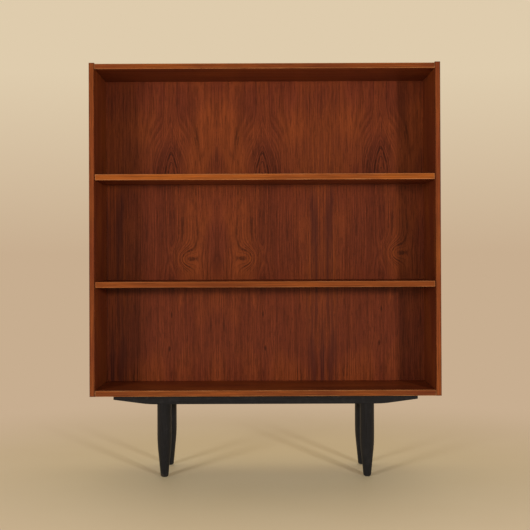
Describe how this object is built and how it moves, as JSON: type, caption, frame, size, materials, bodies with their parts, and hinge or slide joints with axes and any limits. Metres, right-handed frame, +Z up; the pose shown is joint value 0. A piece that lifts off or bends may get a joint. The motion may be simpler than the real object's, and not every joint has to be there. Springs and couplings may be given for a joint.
{
  "type": "bookcase",
  "caption": "Open wooden bookcase with adjustable shelves on hidden pins, veneered back, and a black base with tapered rails and turned legs.",
  "frame": {"origin": "centre of the footprint on the floor, under the middle of the case", "axes": "+Z up, -Y out of the open front, +X to the right seen from the front"},
  "size_m": [1.06, 0.285, 1.254],
  "materials": {
    "teak_veneer": "satin lacquer",
    "teak_back_veneer": "satin lacquer",
    "teak_lipping": "satin lacquer",
    "black_stained_beech": "satin black lacquer",
    "beech": "bare",
    "steel_screws": "zinc plated",
    "brass_pins": "bare, dulled",
    "glide_plastic": "matte"
  },
  "bodies": {
    "root": {"left_side": "teak_veneer", "left_side_lipping": "teak_lipping", "right_side": "teak_veneer", "right_side_lipping": "teak_lipping", "top_panel": "teak_veneer", "top_lipping": "teak_lipping", "bottom_panel": "teak_veneer", "bottom_lipping": "teak_lipping", "back_panel": "teak_back_veneer", "case_dowels": "beech", "back_panel_screws": "steel_screws", "front_rail": "black_stained_beech", "rear_rail": "black_stained_beech", "left_cross_rail": "black_stained_beech", "right_cross_rail": "black_stained_beech", "base_dowels": "beech", "base_screws": "steel_screws", "front_left_leg": "black_stained_beech", "front_left_glide": "glide_plastic", "front_right_leg": "black_stained_beech", "front_right_glide": "glide_plastic", "rear_left_leg": "black_stained_beech", "rear_left_glide": "glide_plastic", "rear_right_leg": "black_stained_beech", "rear_right_glide": "glide_plastic"},
    "upper_shelf": {"upper_shelf": "teak_veneer", "upper_shelf_lipping": "teak_lipping"},
    "lower_shelf": {"lower_shelf": "teak_veneer", "lower_shelf_lipping": "teak_lipping"},
    "upper_left_front_pin": {"upper_left_front_pin": "brass_pins"},
    "upper_left_rear_pin": {"upper_left_rear_pin": "brass_pins"},
    "upper_right_front_pin": {"upper_right_front_pin": "brass_pins"},
    "upper_right_rear_pin": {"upper_right_rear_pin": "brass_pins"},
    "lower_left_front_pin": {"lower_left_front_pin": "brass_pins"},
    "lower_left_rear_pin": {"lower_left_rear_pin": "brass_pins"},
    "lower_right_front_pin": {"lower_right_front_pin": "brass_pins"},
    "lower_right_rear_pin": {"lower_right_rear_pin": "brass_pins"}
  },
  "joints": [
    {"name": "upper_shelf_lift", "type": "slide", "parent": "root", "child": "upper_shelf", "axis": [0, 0, 1], "range_m": [0, 0.315]},
    {"name": "lower_shelf_lift", "type": "slide", "parent": "root", "child": "lower_shelf", "axis": [0, 0, 1], "range_m": [0, 0.305]},
    {"name": "upper_left_front_pin_draw", "type": "slide", "parent": "root", "child": "upper_left_front_pin", "axis": [1, 0, 0], "range_m": [0, 0.0105]},
    {"name": "upper_left_rear_pin_draw", "type": "slide", "parent": "root", "child": "upper_left_rear_pin", "axis": [1, 0, 0], "range_m": [0, 0.0105]},
    {"name": "upper_right_front_pin_draw", "type": "slide", "parent": "root", "child": "upper_right_front_pin", "axis": [-1, 0, 0], "range_m": [0, 0.0105]},
    {"name": "upper_right_rear_pin_draw", "type": "slide", "parent": "root", "child": "upper_right_rear_pin", "axis": [-1, 0, 0], "range_m": [0, 0.0105]},
    {"name": "lower_left_front_pin_draw", "type": "slide", "parent": "root", "child": "lower_left_front_pin", "axis": [1, 0, 0], "range_m": [0, 0.0105]},
    {"name": "lower_left_rear_pin_draw", "type": "slide", "parent": "root", "child": "lower_left_rear_pin", "axis": [1, 0, 0], "range_m": [0, 0.0105]},
    {"name": "lower_right_front_pin_draw", "type": "slide", "parent": "root", "child": "lower_right_front_pin", "axis": [-1, 0, 0], "range_m": [0, 0.0105]},
    {"name": "lower_right_rear_pin_draw", "type": "slide", "parent": "root", "child": "lower_right_rear_pin", "axis": [-1, 0, 0], "range_m": [0, 0.0105]}
  ]
}
